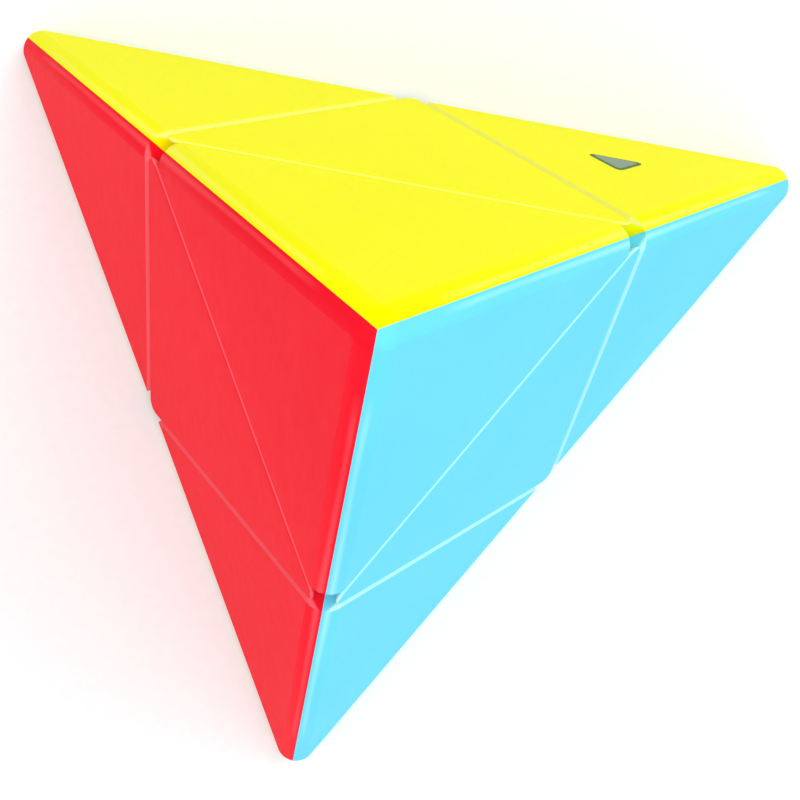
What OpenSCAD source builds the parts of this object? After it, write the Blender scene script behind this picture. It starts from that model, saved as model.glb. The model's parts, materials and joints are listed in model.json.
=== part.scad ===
// Pyramid twisty puzzle: a regular tetrahedron cut in eight by three planes through its centre.
// Four corner pieces and four face centres turn in halves round a hidden ball mechanism.
//
// Every piece is drawn in the cut frame. There the three cuts are the planes x = 0, y = 0 and z = 0,
// and the vertices are (1, 1, 1), (-1, -1, 1), (-1, 1, -1) and (1, -1, -1) times half_cube.
// in_row() then stands the puzzle on its green face, with the middle of that face at the origin.

/* [Pyramid] */
// Length of an edge of the pyramid, between its unrounded vertices
edge_len = 97; // [92:1:130]
// Radius along the edges of the pyramid and round its tips
edge_round = 2.3; // [1:0.1:3.5]
// Gap between neighbouring pieces
cut_gap = 0.3; // [0.2:0.05:0.6]
// Width of the notch between the flat ends of two corners, at the middle of a pyramid edge
notch_w = 3.8; // [2.5:0.1:5]
// Radius on the points of the face centres, which reach into the notches from the sides
point_round = 2.2; // [1:0.1:3.5]
// Depth of the notches below the unrounded edge
notch_depth = 9; // [6:0.5:12]

/* [Shells] */
// Thickness of the coloured shells under a face
face_wall = 2; // [1.6:0.1:2.8]
// Thickness of the coloured shells along a cut
cut_wall = 2; // [1.4:0.1:2.8]
// Plastic left between the corner of a notch and the insert behind it
notch_wall = 2.3; // [1.5:0.1:4]
// Distance from the centre of the puzzle to the outer end of a corner's insert
insert_reach = 38; // [30:1:48]
// Radius of the pocket that lightens a corner's insert
pocket_r = 6; // [3:0.5:8]
// Plastic left under that pocket
pocket_floor = 3; // [2:0.5:6]

/* [Mechanism] */
// Thickness of a face centre over the ball of the mechanism
center_wall = 4; // [3.4:0.1:5]
// Thickness of the layer that holds the flanges of the discs and inner edges
flange_layer = 3.7; // [3:0.1:4.5]
// Thickness of the layer that holds the feet
foot_layer = 3.2; // [2.5:0.1:4]
// How far a neck reaches past the corner of its slices where it meets its foot
neck_reach = 1.75; // [1.2:0.05:2.4]
// Width of the ledge that keeps a foot in
ledge = 1.8; // [1:0.1:2.2]
// Clearance between neighbouring pieces of the mechanism
slide_gap = 0.2; // [0.1:0.05:0.4]
// Gap between the ball of the core and the feet
core_gap = 3.5; // [2:0.1:5]
// Gap between an arm of the core and the inner edges beside it
arm_gap = 0.6; // [0.3:0.1:1]

/* [Screws and springs] */
// Radius of a screw's shaft
screw_r = 1.2; // [0.9:0.1:1.4]
// Clearance between a screw and the disc that turns on it
screw_gap = 0.15; // [0.1:0.05:0.3]
// Clearance between a screw and its hole in the core
thread_gap = 0.03; // [0.01:0.01:0.05]
// Distance from the centre of the core to the tip of a screw
screw_start = 3.5; // [3:0.1:5]
// Radius of a screw's head
head_r = 2.3; // [2:0.1:2.6]
// Height of a screw's head
head_h = 1.4; // [1:0.1:1.8]
// Depth of a screw's head below the surface of the ball
head_sink = 0.6; // [0.5:0.1:1]
// Width of the cross slots in a screw's head
slot_w = 0.55; // [0.4:0.05:0.8]
// Radius of the pocket in a disc that holds the spring
spring_seat_r = 2.9; // [2.7:0.1:3.2]
// Thickness of a disc's floor under its spring
seat_floor = 1.6; // [1:0.1:2]
// Radius of the spring's wire
wire_r = 0.24; // [0.15:0.01:0.3]
// Number of turns in a spring
spring_turns = 3; // [2:1:4]
// Thickness of a washer
washer_h = 0.4; // [0.3:0.1:0.6]

/* [Hidden] */
$fn = 96;
far = 2 * edge_len;
half_cube = edge_len / (2 * sqrt(2));
face_dist = half_cube / sqrt(3);
half_gap = cut_gap / 2;
// A fillet's circle is this much over tangent, so that it crosses the flats it blends
blend = 0.02;

// Radii of the mechanism's layers, from the outside in
ball_r = face_dist - center_wall;
mech_r = ball_r - slide_gap;
flange_in = mech_r - flange_layer;
foot_in = flange_in - foot_layer;
// Half widths of the middle slices, in the flange layer and in the foot layer
outer_slice = (flange_in - neck_reach) / sqrt(3);
inner_slice = outer_slice - ledge;
half_slide = slide_gap / 2;

// Inserts end this far from the axis of a notch, past the corner of a flat end
notch_keep = notch_w / sqrt(2) + notch_wall;

// Heights along a screw
seat_z = foot_in + seat_floor;
head_top = mech_r - head_sink;
head_z = head_top - head_h;
washer_z = head_z - washer_h;
coil_r = spring_seat_r - 0.3 - wire_r;

yellow = [0.98, 0.93, 0.08];
red = [0.93, 0.16, 0.2];
blue = [0.4, 0.84, 0.97];
green = [0.2, 0.75, 0.25];
inner_white = [0.86, 0.86, 0.84];
inner_grey = [0.55, 0.56, 0.58];
steel = [0.7, 0.7, 0.72];

// ---- Placing ----

// From the cut frame to the row: the green face is at the bottom and the top corner points up.
module in_row() {
    translate([0, 0, face_dist])
        rotate([0, 0, 135])
            rotate(a = acos(-1 / sqrt(3)), v = [1, 1, 0])
                children();
}

// Turns a shape by whole thirds of a turn round the axis through a corner's vertex.
module third_turn(k) {
    rotate(a = 120 * k, v = [1, 1, 1]) children();
}

// Turns the shape drawn along +Z to point along a vector.
module toward(v) {
    rotate([0, acos(v[2] / norm(v)), atan2(v[1], v[0])]) children();
}

// Everything beyond the plane at a distance from the centre along a direction.
module beyond(direction, distance) {
    toward(direction)
        translate([-far, -far, distance])
            cube([2 * far, 2 * far, 2 * far]);
}

// Places of the four corners and of the four face centres, from the corner and centre drawn
// where x, y and z are positive
back_left = [0, 0, 0];
back_right = [0, 0, 180];
top = [0, 180, 0];
front = [180, 0, 0];
yellow_place = [0, 0, 90];
green_place = [0, 0, -90];
red_place = [-90, 0, 0];
blue_place = [-90, 0, 180];

// ---- Cutters for the outer pieces ----

// What a fillet takes off the pyramid's edge that is parallel to (1, 0, 1).
module edge_cutter() {
    rotate([0, 45, 0])
        difference() {
            translate([-2 * edge_round, half_cube - 2 / sqrt(3) * edge_round, -far])
                cube([4 * edge_round, 4 * edge_round, 2 * far]);
            translate([0, half_cube - sqrt(3) * edge_round, -far])
                cylinder(r = edge_round + blend, h = 2 * far);
        }
}

// What a ball corner takes off the vertex at (1, 1, 1).
module tip_cutter() {
    translate((half_cube - sqrt(3) * edge_round) * [1, 1, 1])
        difference() {
            cube(8 * edge_round, center = true);
            beyond([-1, -1, 0], 0);
            beyond([-1, 0, -1], 0);
            beyond([0, -1, -1], 0);
            // The ball is a little over the fillets, and its poles and seam are turned away from the tip
            toward([1, 1, 1])
                rotate([0, 90, 0])
                    sphere(r = edge_round + 2 * blend);
        }
}

// What the notch on the +Y axis takes off a corner: its end becomes a flat across the pyramid's edge.
module end_cutter() {
    rotate([0, 45, 0])
        translate([-notch_w, half_cube - notch_depth, -1])
            cube([2 * notch_w, notch_depth + 1, notch_w / 2 + 1]);
}

// What the rounding of a face centre's point on the +Y axis takes off.
module point_cutter() {
    side = point_round + half_gap;
    translate([0, half_cube - notch_depth, 0])
        difference() {
            translate([-1, 0, -1]) cube([side + 1, notch_depth + 1, side + 1]);
            translate([side, -1, side])
                rotate([-90, 0, 0])
                    cylinder(r = point_round + blend, h = notch_depth + 3);
        }
}

// ---- Room for the inserts ----

// What all inserts stay inside, along the cuts and round the notches.
module insert_blank() {
    difference() {
        translate(cut_wall * [1, 1, 1]) cube(half_cube);
        for (k = [0, 1, 2])
            third_turn(k) cylinder(r = notch_keep, h = far);
    }
}

module corner_insert_room() {
    difference() {
        insert_blank();
        for (k = [0, 1, 2])
            third_turn(k) beyond([1, 1, -1], face_dist - face_wall);
    }
}

module center_insert_room() {
    difference() {
        insert_blank();
        beyond([1, 1, 1], face_dist - face_wall);
    }
}

// ---- Outer pieces, where x, y and z are positive ----

// The third of a corner's shell whose face is the one over the cut z = 0.
module corner_shell() {
    difference() {
        translate([0, 0, half_gap]) cube(half_cube + 1);
        beyond([1, 1, -1], face_dist);
        beyond([-1, 0, 1], 0);
        beyond([0, -1, 1], 0);
        for (k = [0, 2])
            third_turn(k) {
                edge_cutter();
                end_cutter();
            }
        tip_cutter();
        sphere(r = ball_r);
        corner_insert_room();
    }
}

module center_shell() {
    difference() {
        translate(half_gap * [1, 1, 1]) cube(half_cube);
        beyond([1, 1, 1], face_dist);
        for (k = [0, 1, 2])
            third_turn(k) point_cutter();
        sphere(r = ball_r);
        center_insert_room();
    }
}

// A layer of the ball, between two radii.
module layer(inner, outer) {
    difference() {
        sphere(r = outer);
        sphere(r = inner);
    }
}

// The neck that goes into the mechanism, and the wider foot on it.
module foot() {
    intersection() {
        layer(foot_in, ball_r + 0.8);
        translate((outer_slice + half_slide) * [1, 1, 1]) cube(ball_r);
    }
    intersection() {
        layer(foot_in, flange_in - half_slide);
        translate((inner_slice + half_slide) * [1, 1, 1]) cube(ball_r);
    }
}

module corner_insert() {
    difference() {
        union() {
            difference() {
                corner_insert_room();
                sphere(r = ball_r);
                beyond([1, 1, 1], insert_reach);
            }
            foot();
        }
        toward([1, 1, 1])
            translate([0, 0, ball_r + pocket_floor])
                cylinder(r = pocket_r, h = insert_reach);
    }
}

module center_insert() {
    difference() {
        center_insert_room();
        sphere(r = ball_r);
    }
    foot();
}

// ---- Mechanism ----

// The six directions of the screws: +Z, -Z, +X, -X, +Y and -Y.
disc_places = [[0, 0, 0], [180, 0, 0], [0, 90, 0], [0, -90, 0], [-90, 0, 0], [90, 0, 0]];

module core() {
    color(inner_white)
        in_row()
            difference() {
                union() {
                    sphere(r = foot_in - core_gap);
                    for (place = disc_places)
                        rotate(place) cylinder(r = inner_slice - arm_gap, h = foot_in - slide_gap);
                }
                for (place = disc_places)
                    rotate(place)
                        translate([0, 0, screw_start - 0.5])
                            cylinder(r = screw_r + thread_gap, h = foot_in);
            }
}

// A disc that turns on a screw and keeps four inner edges in.
module disc(i) {
    color(inner_grey)
        in_row()
            rotate(disc_places[i])
                difference() {
                    union() {
                        intersection() {
                            layer(flange_in + half_slide, mech_r);
                            cylinder(r = outer_slice - half_slide, h = far);
                        }
                        translate([0, 0, foot_in])
                            cylinder(r = inner_slice - half_slide, h = flange_layer + 1);
                    }
                    translate([0, 0, seat_z]) cylinder(r = spring_seat_r, h = far);
                    cylinder(r = screw_r + screw_gap, h = far);
                }
}

// An inner edge between two discs. It has a foot under the discs and a flange over the feet.
module inner_edge(i) {
    low = inner_slice - half_slide;
    high = outer_slice - half_slide;
    color(inner_white)
        in_row()
            rotate([0, 0, 90 * (i % 4)])
                rotate([90 * [0, 1, -1][floor(i / 4)], 0, 0]) {
                    intersection() {
                        layer(foot_in, flange_in - half_slide);
                        translate([low + slide_gap, low + slide_gap, -low]) cube([far, far, 2 * low]);
                    }
                    intersection() {
                        layer(flange_in + half_slide, mech_r);
                        translate([high + slide_gap, high + slide_gap, -high]) cube([far, far, 2 * high]);
                    }
                    intersection() {
                        layer(foot_in, mech_r);
                        translate([high + slide_gap, high + slide_gap, -low]) cube([far, far, 2 * low]);
                    }
                }
}

module screws() {
    color(steel)
        in_row()
            for (place = disc_places)
                rotate(place)
                    difference() {
                        union() {
                            translate([0, 0, screw_start]) cylinder(r = screw_r, h = head_z - screw_start + 0.1);
                            translate([0, 0, head_z]) cylinder(r = head_r, h = head_h);
                        }
                        for (turn = [0, 90])
                            rotate([0, 0, turn])
                                translate([-0.7 * head_r, -slot_w / 2, head_top - head_h / 2])
                                    cube([1.4 * head_r, slot_w, head_h]);
                    }
}

module washers() {
    color(steel)
        in_row()
            for (place = disc_places)
                rotate(place)
                    translate([0, 0, washer_z])
                        difference() {
                            cylinder(r = spring_seat_r - 0.2, h = washer_h);
                            translate([0, 0, -1]) cylinder(r = screw_r + screw_gap, h = washer_h + 2);
                        }
}

// Steps round one turn of a spring, and sides of its wire
coil_steps = 12;
wire_sides = 6;
function coil_point(k, j) =
    let (
        along = k / (coil_steps * spring_turns),
        round = 360 * k / coil_steps,
        side = 360 * j / wire_sides,
        reach = coil_r + wire_r * cos(side),
        low = seat_z + wire_r,
        high = washer_z - wire_r
    )
    [reach * cos(round), reach * sin(round), low + (high - low) * along + wire_r * sin(side)];

module spring() {
    rings = coil_steps * spring_turns + 1;
    points = [for (k = [0:rings - 1]) for (j = [0:wire_sides - 1]) coil_point(k, j)];
    walls = [
        for (k = [0:rings - 2])
            for (j = [0:wire_sides - 1])
                let (next = (j + 1) % wire_sides)
                    each [
                        [k * wire_sides + j, (k + 1) * wire_sides + j, k * wire_sides + next],
                        [(k + 1) * wire_sides + j, (k + 1) * wire_sides + next, k * wire_sides + next]
                    ]
    ];
    first_cap = [for (j = [0:wire_sides - 1]) j];
    last_cap = [for (j = [wire_sides - 1:-1:0]) (rings - 1) * wire_sides + j];
    polyhedron(points = points, faces = concat(walls, [first_cap, last_cap]));
}

module springs() {
    color(steel)
        in_row()
            for (place = disc_places)
                rotate(place) spring();
}

// ---- Nodes ----

// A corner's shell over the local cut x = 0, y = 0 or z = 0: two, one or no further thirds round.
module shell_x(place, tint) { color(tint) in_row() rotate(place) third_turn(1) corner_shell(); }
module shell_y(place, tint) { color(tint) in_row() rotate(place) third_turn(2) corner_shell(); }
module shell_z(place, tint) { color(tint) in_row() rotate(place) corner_shell(); }
module corner_body(place) { color(inner_white) in_row() rotate(place) corner_insert(); }
module center_face(place, tint) { color(tint) in_row() rotate(place) center_shell(); }
module center_body(place) { color(inner_white) in_row() rotate(place) center_insert(); }

shell_x(back_left, yellow);  // back_left_yellow_shell
shell_y(back_left, green);  // back_left_green_shell
shell_z(back_left, red);  // back_left_red_shell
corner_body(back_left);  // back_left_insert
shell_x(back_right, green);  // back_right_green_shell
shell_y(back_right, yellow);  // back_right_yellow_shell
shell_z(back_right, blue);  // back_right_blue_shell
corner_body(back_right);  // back_right_insert
shell_x(top, red);  // top_red_shell
shell_y(top, blue);  // top_blue_shell
shell_z(top, yellow);  // top_yellow_shell
corner_body(top);  // top_insert
shell_x(front, blue);  // front_blue_shell
shell_y(front, red);  // front_red_shell
shell_z(front, green);  // front_green_shell
corner_body(front);  // front_insert
center_face(yellow_place, yellow);  // yellow_center_shell
center_body(yellow_place);  // yellow_center_insert
center_face(red_place, red);  // red_center_shell
center_body(red_place);  // red_center_insert
center_face(blue_place, blue);  // blue_center_shell
center_body(blue_place);  // blue_center_insert
center_face(green_place, green);  // green_center_shell
center_body(green_place);  // green_center_insert
core();
disc(0);  // back_bottom_disc
disc(1);  // front_top_disc
disc(2);  // left_bottom_disc
disc(3);  // right_top_disc
disc(4);  // left_top_disc
disc(5);  // right_bottom_disc
inner_edge(0);  // inner_edge_1
inner_edge(1);  // inner_edge_2
inner_edge(2);  // inner_edge_3
inner_edge(3);  // inner_edge_4
inner_edge(4);  // inner_edge_5
inner_edge(5);  // inner_edge_6
inner_edge(6);  // inner_edge_7
inner_edge(7);  // inner_edge_8
inner_edge(8);  // inner_edge_9
inner_edge(9);  // inner_edge_10
inner_edge(10);  // inner_edge_11
inner_edge(11);  // inner_edge_12
screws();
springs();
washers();
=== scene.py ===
# Pyramid twisty puzzle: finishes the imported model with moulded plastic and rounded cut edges,
# and sets up a studio.
import json
import math

import bmesh
import bpy
from mathutils import Euler, Matrix, Vector

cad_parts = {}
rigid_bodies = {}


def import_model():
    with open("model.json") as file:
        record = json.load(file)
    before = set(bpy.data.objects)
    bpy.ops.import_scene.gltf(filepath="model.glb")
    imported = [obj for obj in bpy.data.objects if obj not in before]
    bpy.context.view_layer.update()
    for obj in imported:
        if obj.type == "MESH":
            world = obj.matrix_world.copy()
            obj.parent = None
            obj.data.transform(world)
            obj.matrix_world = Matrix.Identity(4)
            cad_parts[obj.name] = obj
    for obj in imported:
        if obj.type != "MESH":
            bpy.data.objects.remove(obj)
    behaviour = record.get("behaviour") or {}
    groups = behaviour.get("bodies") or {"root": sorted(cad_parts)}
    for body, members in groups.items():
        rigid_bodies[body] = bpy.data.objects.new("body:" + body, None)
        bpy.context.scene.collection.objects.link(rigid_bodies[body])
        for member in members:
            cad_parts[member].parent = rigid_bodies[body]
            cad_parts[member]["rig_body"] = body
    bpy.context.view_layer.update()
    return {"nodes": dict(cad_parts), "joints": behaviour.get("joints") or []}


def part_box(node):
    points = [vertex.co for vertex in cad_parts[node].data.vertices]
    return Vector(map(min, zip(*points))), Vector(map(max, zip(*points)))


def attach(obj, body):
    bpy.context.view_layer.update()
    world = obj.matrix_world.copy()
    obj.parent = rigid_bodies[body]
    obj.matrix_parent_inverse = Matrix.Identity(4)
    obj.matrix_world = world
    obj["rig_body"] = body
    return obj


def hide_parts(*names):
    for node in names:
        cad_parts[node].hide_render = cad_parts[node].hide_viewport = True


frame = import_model()

MM = 0.001

# ---- The cut frame ----
# The three cuts of the puzzle pass through its centre.
# The axes of the joints give their directions.
joints = {joint["name"]: joint for joint in frame["joints"]}
centre = Vector(joints["half_turn"]["pos_m"])
cut_x = Vector(joints["left_bottom_disc_spin"]["axis"]).normalized()
cut_y = Vector(joints["left_top_disc_spin"]["axis"]).normalized()
cut_z = Vector(joints["half_turn"]["axis"]).normalized()
# The centre's height over the bottom face is its distance from every face.
face_dist = centre.z

# Sizes of the finish, in metres
skin_depth = 1.8 * MM      # rounded edges and tips lie less than this under the flat faces
lip_radius = 0.75 * MM     # rounding where a face turns down into a cut
end_radius = 1.6 * MM      # rounding on the upright edges of a corner's flat ends
seam_width = 0.07 * MM     # groove where two colours of one corner meet
flat_area = 20 * MM * MM   # faces larger than this are flat sides, not roundings
shortest_upright = 3 * MM  # upright edges at the notches are longer than this

# Angles of the finish, in radians
smooth_angle = math.radians(32)    # faces that meet at less than this shade as one surface
crease_angle = math.radians(20)    # edges flatter than this are not rounded
upright_angles = (0.6, 1.0)        # upright edges at the notches turn by an angle between these

# Paler rims along the cuts, a painted highlight: how far under the flat face they reach, in
# millimetres, and how far from the centre
rim_highlight_fades = (0.8, 0.5)
tip_highlight_fades = (2.5, 2.3)             # in distances from the centre to a face


def to_cut(v):
    """A direction in the row frame, seen in the cut frame."""
    return Vector((v.dot(cut_x), v.dot(cut_y), v.dot(cut_z)))


# The outward directions of the four faces, in the cut frame
FACES = [Vector(d).normalized() for d in ((1, 1, -1), (1, -1, 1), (-1, 1, 1), (-1, -1, -1))]


def on_skin(co):
    """True for a point on the outside of the pyramid."""
    p = to_cut(co - centre)
    return max(p.dot(face) for face in FACES) > face_dist - skin_depth


# ---- Materials ----

def linear(hex_colour):
    """An sRGB hex colour as a linear RGBA colour."""
    parts = [int(hex_colour[i:i + 2], 16) / 255 for i in (0, 2, 4)]
    return [p / 12.92 if p <= 0.04045 else ((p + 0.055) / 1.055) ** 2.4 for p in parts] + [1.0]


def add(tree, kind, settings=None, inputs=None):
    """Adds a node. inputs maps a socket's name or number to a value, or to a socket that feeds it."""
    made = tree.nodes.new(kind)
    for name, value in (settings or {}).items():
        setattr(made, name, value)
    for name, value in (inputs or {}).items():
        if isinstance(value, bpy.types.NodeSocket):
            tree.links.new(value, made.inputs[name])
        else:
            made.inputs[name].default_value = value
    return made


def blank_material(name):
    """A material with no nodes but the coordinates of the piece in millimetres; finish_material adds
    its output.
    """
    material = bpy.data.materials.new(name)
    material.use_nodes = True
    tree = material.node_tree
    tree.nodes.clear()
    coordinates = add(tree, "ShaderNodeTexCoord")
    in_mm = add(tree, "ShaderNodeMapping", inputs={
        "Vector": coordinates.outputs["Object"], "Scale": (1 / MM, 1 / MM, 1 / MM)})
    return material, tree, in_mm.outputs["Vector"]


def finish_material(tree, shader):
    add(tree, "ShaderNodeOutputMaterial", inputs={"Surface": shader.outputs[0]})


def rim_highlight_mask(tree, mm, signs):
    """Mask of a painted highlight: near 1 on the rims that turn back from a face into a cut, 0 on
    flat faces and cut walls.
    """
    normal = add(tree, "ShaderNodeTexCoord").outputs["Normal"]
    axes = [axis * sign for axis, sign in zip((cut_x, cut_y, cut_z), signs)]
    tilt = [add(tree, "ShaderNodeVectorMath", {"operation": "DOT_PRODUCT"}, {
        0: normal, 1: axis}).outputs["Value"] for axis in axes]
    first = add(tree, "ShaderNodeMath", {"operation": "MINIMUM"}, {0: tilt[0], 1: tilt[1]})
    lowest = add(tree, "ShaderNodeMath", {"operation": "MINIMUM"}, {
        0: first.outputs[0], 1: tilt[2]})
    starts = add(tree, "ShaderNodeMapRange", inputs={0: lowest.outputs[0], 1: 0.25, 2: -0.05})
    ends = add(tree, "ShaderNodeMapRange", inputs={0: lowest.outputs[0], 1: -0.97, 2: -0.8})
    # The painted highlight covers only the first part of a millimetre under the flat face
    outward = sum(axes, Vector()).normalized()
    height = add(tree, "ShaderNodeVectorMath", {"operation": "DOT_PRODUCT"}, {0: mm, 1: outward})
    top = (centre.dot(outward) + face_dist) / MM
    shallow = add(tree, "ShaderNodeMapRange", inputs={
        0: height.outputs["Value"], 1: top - rim_highlight_fades[0], 2: top - rim_highlight_fades[1]})
    # The pyramid's rounded tips get no painted highlight
    from_centre = add(tree, "ShaderNodeVectorMath", {"operation": "DISTANCE"}, {
        0: mm, 1: centre / MM})
    off_tip = add(tree, "ShaderNodeMapRange", inputs={
        0: from_centre.outputs["Value"],
        1: tip_highlight_fades[0] * face_dist / MM, 2: tip_highlight_fades[1] * face_dist / MM})
    masked = add(tree, "ShaderNodeMath", {"operation": "MULTIPLY"}, {
        0: shallow.outputs[0], 1: off_tip.outputs[0]})
    turned = add(tree, "ShaderNodeMath", {"operation": "MULTIPLY"}, {
        0: starts.outputs[0], 1: ends.outputs[0]})
    return add(tree, "ShaderNodeMath", {"operation": "MULTIPLY"}, {
        0: turned.outputs[0], 1: masked.outputs[0]}).outputs[0]


def moulded_plastic(name, hex_colour, shade_hex, roughness, grain, rim_highlight_hex=None, signs=None):
    """Injection-moulded ABS: nearly even colour, a fine spark-eroded grain and faint rub marks.

    With a rim colour, the rims along the cuts are tinted paler: a painted highlight on the lips that
    turn down into the cuts.
    """
    material, tree, mm = blank_material(name)
    # Slow drift of the pigment, about 20 mm across
    drift = add(tree, "ShaderNodeTexNoise", inputs={"Vector": mm, "Scale": 0.05, "Detail": 2.0})
    # Pigment specks, about half a millimetre across: coarser than real ones, so that they show
    specks = add(tree, "ShaderNodeTexNoise", inputs={"Vector": mm, "Scale": 2.0, "Detail": 3.0})
    both = add(tree, "ShaderNodeMix", {"data_type": "FLOAT"}, {
        0: 0.35, 2: drift.outputs[0], 3: specks.outputs[0]})
    colour = add(tree, "ShaderNodeValToRGB", inputs={0: both.outputs[0]})
    colour.color_ramp.elements[0].position = 0.3
    colour.color_ramp.elements[0].color = linear(shade_hex)
    colour.color_ramp.elements[1].position = 0.62
    colour.color_ramp.elements[1].color = linear(hex_colour)
    base = colour.outputs[0]
    # Painted highlight: the rims along the cuts are tinted paler than the faces
    if rim_highlight_hex:
        base = add(tree, "ShaderNodeMix", {"data_type": "RGBA"}, {
            0: rim_highlight_mask(tree, mm, signs), 6: base, 7: linear(rim_highlight_hex)}).outputs[2]
    # Rub marks from handling: long thin noise that changes only the gloss
    stretched = add(tree, "ShaderNodeMapping", inputs={
        "Vector": mm, "Rotation": (0.4, 0.9, 0.3), "Scale": (1.6, 0.08, 0.5)})
    rubs = add(tree, "ShaderNodeTexNoise", inputs={
        "Vector": stretched.outputs[0], "Scale": 1.0, "Detail": 4.0})
    gloss = add(tree, "ShaderNodeMapRange", inputs={
        0: rubs.outputs[0], 1: 0.3, 2: 0.7, 3: roughness - 0.03, 4: roughness + 0.03})
    # Mould grain, about 0.15 mm across: coarser than a real spark-eroded mould leaves it
    pits = add(tree, "ShaderNodeTexNoise", inputs={"Vector": mm, "Scale": 6.5, "Detail": 2.0})
    bump = add(tree, "ShaderNodeBump", inputs={
        "Strength": grain, "Distance": 0.02 * MM, "Height": pits.outputs[0]})
    shader = add(tree, "ShaderNodeBsdfPrincipled", inputs={
        "Base Color": base, "Roughness": gloss.outputs[0],
        "Normal": bump.outputs[0], "IOR": 1.54, "Specular IOR Level": 0.015})
    finish_material(tree, shader)
    return material


def zinc_steel(name, hex_colour):
    """Zinc-plated steel: a cloudy, slightly brushed metal."""
    material, tree, mm = blank_material(name)
    clouds = add(tree, "ShaderNodeTexNoise", inputs={"Vector": mm, "Scale": 1.2, "Detail": 4.0})
    colour = add(tree, "ShaderNodeValToRGB", inputs={0: clouds.outputs[0]})
    colour.color_ramp.elements[0].color = linear("8e9094")
    colour.color_ramp.elements[1].color = linear(hex_colour)
    gloss = add(tree, "ShaderNodeMapRange", inputs={0: clouds.outputs[0], 3: 0.22, 4: 0.4})
    shader = add(tree, "ShaderNodeBsdfPrincipled", inputs={
        "Base Color": colour.outputs[0], "Roughness": gloss.outputs[0], "Metallic": 1.0})
    finish_material(tree, shader)
    return material


def matte_surface(name, hex_colour, roughness):
    """The studio's seamless paper: almost even, with faint fibres."""
    material, tree, mm = blank_material(name)
    fibres = add(tree, "ShaderNodeTexNoise", inputs={"Vector": mm, "Scale": 0.8, "Detail": 3.0})
    colour = add(tree, "ShaderNodeValToRGB", inputs={0: fibres.outputs[0]})
    colour.color_ramp.elements[0].color = linear("f4f4f4")
    colour.color_ramp.elements[1].color = linear(hex_colour)
    shader = add(tree, "ShaderNodeBsdfPrincipled", inputs={
        "Base Color": colour.outputs[0], "Roughness": roughness, "Specular IOR Level": 0.2})
    finish_material(tree, shader)
    return material


# Stickerless caps: through-coloured satin ABS, one resin for each face of the pyramid
# The third colour of each cap is a painted highlight on the rims along the cuts
cap_plastic = {
    "yellow": moulded_plastic(
        "yellow_abs", "fffc00", "fcf900", 0.4, 0.12, "fdfc86", (-1, 1, 1)),
    "red": moulded_plastic(
        "red_abs", "fb182c", "f61428", 0.4, 0.12, "ff6a76", (1, 1, -1)),
    "blue": moulded_plastic(
        "light_blue_abs", "6edefa", "68daf7", 0.4, 0.12, "c4ffff", (-1, -1, -1)),
    "green": moulded_plastic(
        "green_abs", "2bc243", "25b93c", 0.4, 0.12, "86e090", (1, -1, 1)),
}
# Inserts, inner edges and core: natural white ABS
inner_plastic = moulded_plastic("natural_white_abs", "dedcd4", "d5d3ca", 0.42, 0.2)
# Discs: grey acetal, a slippery bearing plastic
disc_plastic = moulded_plastic("grey_acetal", "8d9094", "83868a", 0.3, 0.1)
# Screws, washers and springs: zinc-plated steel
screw_steel = zinc_steel("zinc_plated_steel", "d4d6d8")


# ---- Coloured shells ----

def facet_kind(face, signs):
    """What a face of a shell is, from its normal in the piece's own octant."""
    normal = to_cut(face.normal)
    turned = [n * s for n, s in zip(normal, signs)]
    total = sum(turned)
    flat = sorted(abs(n) for n in turned)
    if flat[0] < 0.02 and abs(flat[1] - flat[2]) < 0.03 and abs(total) < 0.05:
        return "mirror"
    return "outside" if total > 0.3 else "inside"


def shade_flats_flat(mesh):
    """Gives large flat faces their own normals, and starts the roundings beside them from these."""
    normals = [corner.vector.copy() for corner in mesh.corner_normals]
    flats_at = {}
    for polygon in mesh.polygons:
        if polygon.area > flat_area:
            for vertex in polygon.vertices:
                flats_at.setdefault(vertex, []).append(polygon.normal.copy())
    for polygon in mesh.polygons:
        own = polygon.normal.copy()
        for loop in polygon.loop_indices:
            if polygon.area > flat_area:
                normals[loop] = own
                continue
            flats = flats_at.get(mesh.loops[loop].vertex_index, [])
            nearest = max(flats, key=own.dot, default=None)
            if nearest is not None and nearest.dot(own) > math.cos(smooth_angle):
                normals[loop] = nearest
    mesh.normals_split_custom_set(normals)


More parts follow.
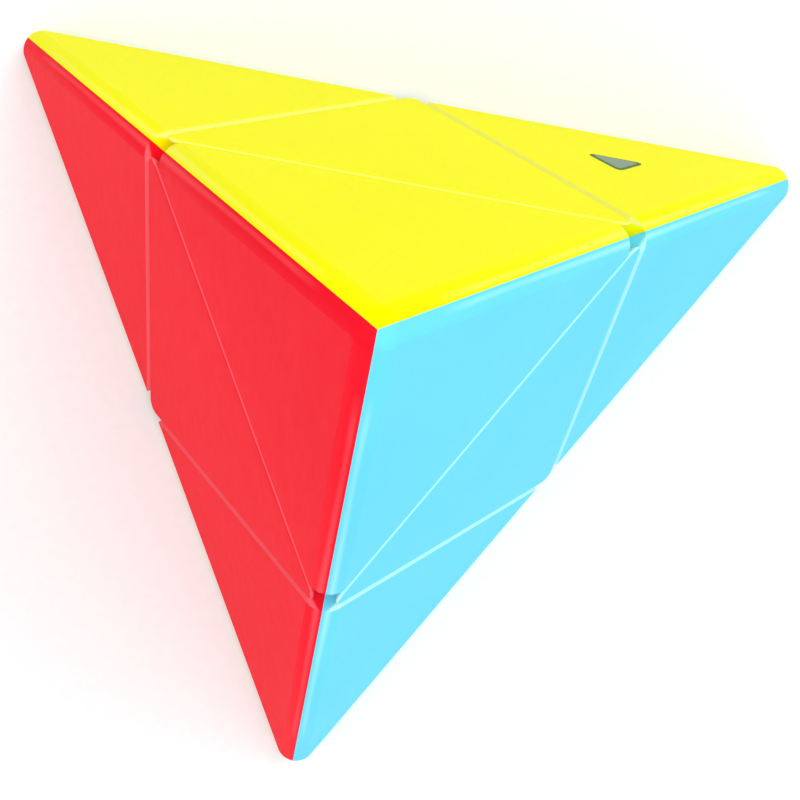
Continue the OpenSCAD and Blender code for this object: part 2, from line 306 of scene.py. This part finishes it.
def rounded_shell(node_name):
    """A copy of a coloured shell with rounded lips along the cuts and grooved colour seams."""
    cad_object = frame["nodes"][node_name]
    bm = bmesh.new()
    bm.from_mesh(cad_object.data)
    bmesh.ops.remove_doubles(bm, verts=bm.verts, dist=2e-6)
    bmesh.ops.dissolve_limit(
        bm, angle_limit=math.radians(0.6), verts=bm.verts, edges=bm.edges, delimit=set())
    low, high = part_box(node_name)
    middle = to_cut((low + high) / 2 - centre)
    signs = [1 if m > 0 else -1 for m in middle]

    def edges_between(kinds):
        found = []
        for edge in bm.edges:
            if len(edge.link_faces) != 2 or not all(on_skin(v.co) for v in edge.verts):
                continue
            if edge.calc_face_angle(0) < crease_angle:
                continue
            if {facet_kind(f, signs) for f in edge.link_faces} == kinds:
                found.append(edge)
        return found

    def upright_edges():
        """The edges of a flat end that run down into the notch."""
        found = []
        for edge in bm.edges:
            if len(edge.link_faces) != 2 or not any(on_skin(v.co) for v in edge.verts):
                continue
            along = to_cut(edge.verts[1].co - edge.verts[0].co)
            is_axial = max(abs(part) for part in along) > 0.999 * along.length
            is_axial = is_axial and 0.999 * along.length > shortest_upright
            if is_axial and upright_angles[0] < edge.calc_face_angle(0) < upright_angles[1]:
                found.append(edge)
        return found

    bmesh.ops.bevel(
        bm, geom=upright_edges(), offset=end_radius, offset_type="OFFSET",
        affect="EDGES", segments=6, profile=0.5, material=-1, clamp_overlap=True)
    bmesh.ops.bevel(
        bm, geom=edges_between({"outside", "inside"}), offset=lip_radius, offset_type="OFFSET",
        affect="EDGES", segments=4, profile=0.5, material=-1, clamp_overlap=True)
    bmesh.ops.bevel(
        bm, geom=edges_between({"outside", "mirror"}), offset=seam_width, offset_type="OFFSET",
        affect="EDGES", segments=1, profile=0.5, material=-1, clamp_overlap=True)
    mesh = bpy.data.meshes.new(node_name + "_finished")
    bm.to_mesh(mesh)
    bm.free()
    mesh.polygons.foreach_set("use_smooth", [True] * len(mesh.polygons))
    mesh.set_sharp_from_angle(angle=smooth_angle)
    shade_flats_flat(mesh)
    piece = bpy.data.objects.new(node_name + "_finished", mesh)
    bpy.context.scene.collection.objects.link(piece)
    return piece


def colour_of(node_name):
    return next(colour for colour in cap_plastic if "_" + colour + "_" in "_" + node_name)


for name, cad_object in frame["nodes"].items():
    if name.endswith("_shell"):
        shell = rounded_shell(name)
        shell.data.materials.clear()
        shell.data.materials.append(cap_plastic[colour_of(name)])
        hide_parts(name)
        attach(shell, cad_object["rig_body"])
    else:
        is_steel = name in ("screws", "springs", "washers")
        is_disc = name.endswith("_disc")
        finish = screw_steel if is_steel else disc_plastic if is_disc else inner_plastic
        cad_object.material_slots[0].material = finish


# ---- Maker's mark ----
# A plain grey triangle stands in for a printed mark, near the middle of the back right
# corner's yellow face.

yellow_out = (cut_y + cut_z - cut_x).normalized()


def mark_layer(name, radius, thickness, material):
    """A thin rounded triangle printed on the yellow face."""
    bm = bmesh.new()
    bmesh.ops.create_circle(bm, cap_ends=True, segments=3, radius=radius)
    bmesh.ops.bevel(
        bm, geom=bm.verts[:], offset=0.28 * radius, affect="VERTICES", segments=6,
        profile=0.5, material=-1)
    flat = bmesh.ops.extrude_face_region(bm, geom=bm.faces[:])
    raised = [v for v in flat["geom"] if isinstance(v, bmesh.types.BMVert)]
    bmesh.ops.translate(bm, verts=raised, vec=(0, 0, thickness))
    bmesh.ops.recalc_face_normals(bm, faces=bm.faces)
    # Near the middle of the corner's yellow triangle: the vertex and two edge middles, weighted
    half_cube = face_dist * math.sqrt(3)
    vertex = -cut_x - cut_y + cut_z
    spot = centre + half_cube * (0.28 * vertex + 0.33 * cut_z - 0.39 * cut_x)
    sideways = (cut_x + cut_y).normalized()
    turn = Matrix((sideways, yellow_out.cross(sideways), yellow_out)).transposed().to_4x4()
    bmesh.ops.transform(bm, matrix=Matrix.Translation(spot) @ turn, verts=bm.verts)
    mesh = bpy.data.meshes.new(name)
    bm.to_mesh(mesh)
    bm.free()
    piece = bpy.data.objects.new(name, mesh)
    piece.data.materials.append(material)
    bpy.context.scene.collection.objects.link(piece)
    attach(piece, "back_half")
    return piece


# Pad-printed ink: a thin satin film
mark_edge_ink = moulded_plastic("dark_grey_ink", "5f7c5c", "587555", 0.5, 0.05)
mark_ink = moulded_plastic("pale_grey_ink", "93a892", "8ba08a", 0.5, 0.05)
mark_layer("mark_edge", 3.8 * MM, 0.05 * MM, mark_edge_ink)
mark_layer("mark_middle", 3.1 * MM, 0.08 * MM, mark_ink)

# ---- Studio ----

paper = matte_surface("seamless_paper", "fbfbfb", 0.9)
bm = bmesh.new()
bmesh.ops.create_grid(bm, x_segments=1, y_segments=1, size=3.0)
floor_mesh = bpy.data.meshes.new("floor")
bm.to_mesh(floor_mesh)
bm.free()
floor = bpy.data.objects.new("floor", floor_mesh)
floor.data.materials.append(paper)
bpy.context.scene.collection.objects.link(floor)


def area_light(name, place, size, power):
    """A soft box that points at the puzzle."""
    lamp = bpy.data.lights.new(name, "AREA")
    lamp.shape = "SQUARE"
    lamp.size = size
    lamp.energy = power
    holder = bpy.data.objects.new(name, lamp)
    holder.location = place
    holder.rotation_euler = (centre - Vector(place)).to_track_quat("-Z", "Y").to_euler()
    bpy.context.scene.collection.objects.link(holder)


area_light("top_softbox", (0.05, 0, 0.95), 0.5, 2.6)
area_light("key_softbox", (0.35, 0.35, 0.6), 0.5, 2.3)
area_light("fill_softbox", (-0.5, -0.3, 0.5), 0.6, 1.5)
area_light("front_softbox", (0.3, -0.5, 0.45), 0.6, 1.2)

world = bpy.data.worlds.new("studio")
world.use_nodes = True
world.node_tree.nodes["Background"].inputs["Color"].default_value = (1, 1, 1, 1)
world.node_tree.nodes["Background"].inputs["Strength"].default_value = 0.45
bpy.context.scene.world = world
bpy.context.scene.view_settings.view_transform = "Standard"

# The camera looks almost straight down on the puzzle, from close by.
lens = bpy.data.cameras.new("camera")
lens.sensor_width = 36
lens.lens = 74.16
camera = bpy.data.objects.new("camera", lens)
camera.location = (-1.3 * MM, 0, 195.4 * MM)
camera.rotation_euler = Euler([math.radians(a) for a in (-2.56, -1.391, 10.302)], "XYZ")
bpy.context.scene.collection.objects.link(camera)
bpy.context.scene.camera = camera
